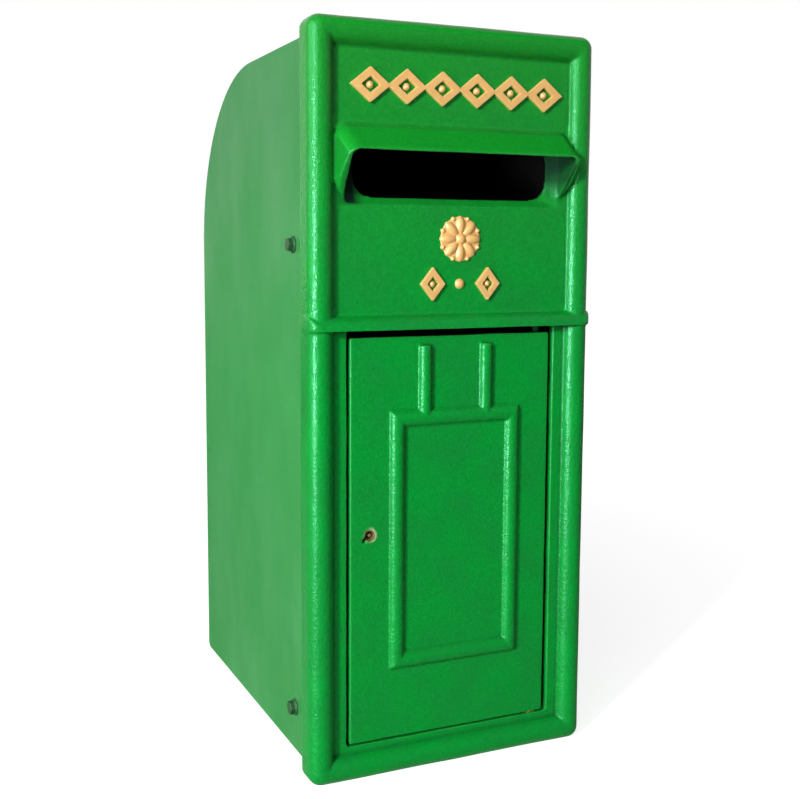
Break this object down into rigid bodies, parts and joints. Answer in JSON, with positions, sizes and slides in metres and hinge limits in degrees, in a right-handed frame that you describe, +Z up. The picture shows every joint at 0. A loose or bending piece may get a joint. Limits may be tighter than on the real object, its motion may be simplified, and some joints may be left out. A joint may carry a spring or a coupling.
{
  "type": "letter box",
  "caption": "Tall letter box with a cast front, hooded posting slot, ledge, hinged locking collection door and a round-backed sheet steel case.",
  "frame": {"origin": "under the middle of the whole box, level with the foot of the cast front", "axes": "+X to the viewer's right, the front faces -Y, +Z up"},
  "size_m": [0.2446, 0.338, 0.58],
  "materials": {
    "cast_paint": "gloss enamel brushed over a rough casting",
    "case_paint": "thin satin enamel on sheet steel",
    "gilt_paint": "gold paint on raised ornament",
    "zinc_steel": "zinc plated",
    "lock_steel": "pressed steel",
    "lock_brass": "sawn and filed brass"
  },
  "bodies": {
    "letter_box": {"front_casting": "cast_paint", "side_plate_left": "case_paint", "side_plate_right": "case_paint", "wrapped_sheet": "case_paint", "case_bolts": "case_paint", "nut_washers": "zinc_steel", "case_nuts": "zinc_steel", "upper_hinge_pin": "cast_paint", "lower_hinge_pin": "cast_paint", "hinge_washer": "lock_brass"},
    "door": {"door": "cast_paint", "lock_case": "lock_steel", "lock_cap": "lock_steel", "lever_post": "lock_steel", "lever_springs": "lock_brass", "drill_pin": "lock_brass", "lock_screws": "zinc_steel", "cap_screws": "zinc_steel"},
    "bolt": {"lock_bolt": "lock_brass"},
    "lever_a": {"lever_front": "lock_brass"},
    "lever_b": {"lever_middle": "lock_brass"},
    "lever_c": {"lever_rear": "lock_brass"}
  },
  "joints": [
    {"name": "door_hinge", "type": "hinge", "parent": "letter_box", "child": "door", "pos_m": [0.08, -0.134, 0.0275], "axis": [0, 0, 1], "range_deg": [0, 100]},
    {"name": "bolt_slide", "type": "slide", "parent": "door", "child": "bolt", "axis": [-1, 0, 0], "range_m": [0, 0.008]},
    {"name": "lever_a_lift", "type": "hinge", "parent": "door", "child": "lever_a", "pos_m": [-0.0505, -0.1298, 0.203], "axis": [0, 1, 0], "range_deg": [0, 6], "deforming": ["lever_springs"]},
    {"name": "lever_b_lift", "type": "hinge", "parent": "door", "child": "lever_b", "pos_m": [-0.0505, -0.1281, 0.203], "axis": [0, 1, 0], "range_deg": [0, 6]},
    {"name": "lever_c_lift", "type": "hinge", "parent": "door", "child": "lever_c", "pos_m": [-0.0505, -0.1264, 0.203], "axis": [0, 1, 0], "range_deg": [0, 6]}
  ],
  "couplings": [
    {"joint": "lever_a_lift", "follows": "bolt_slide", "rad_per_m": 13},
    {"joint": "lever_b_lift", "follows": "bolt_slide", "rad_per_m": 13},
    {"joint": "lever_c_lift", "follows": "bolt_slide", "rad_per_m": 13}
  ]
}
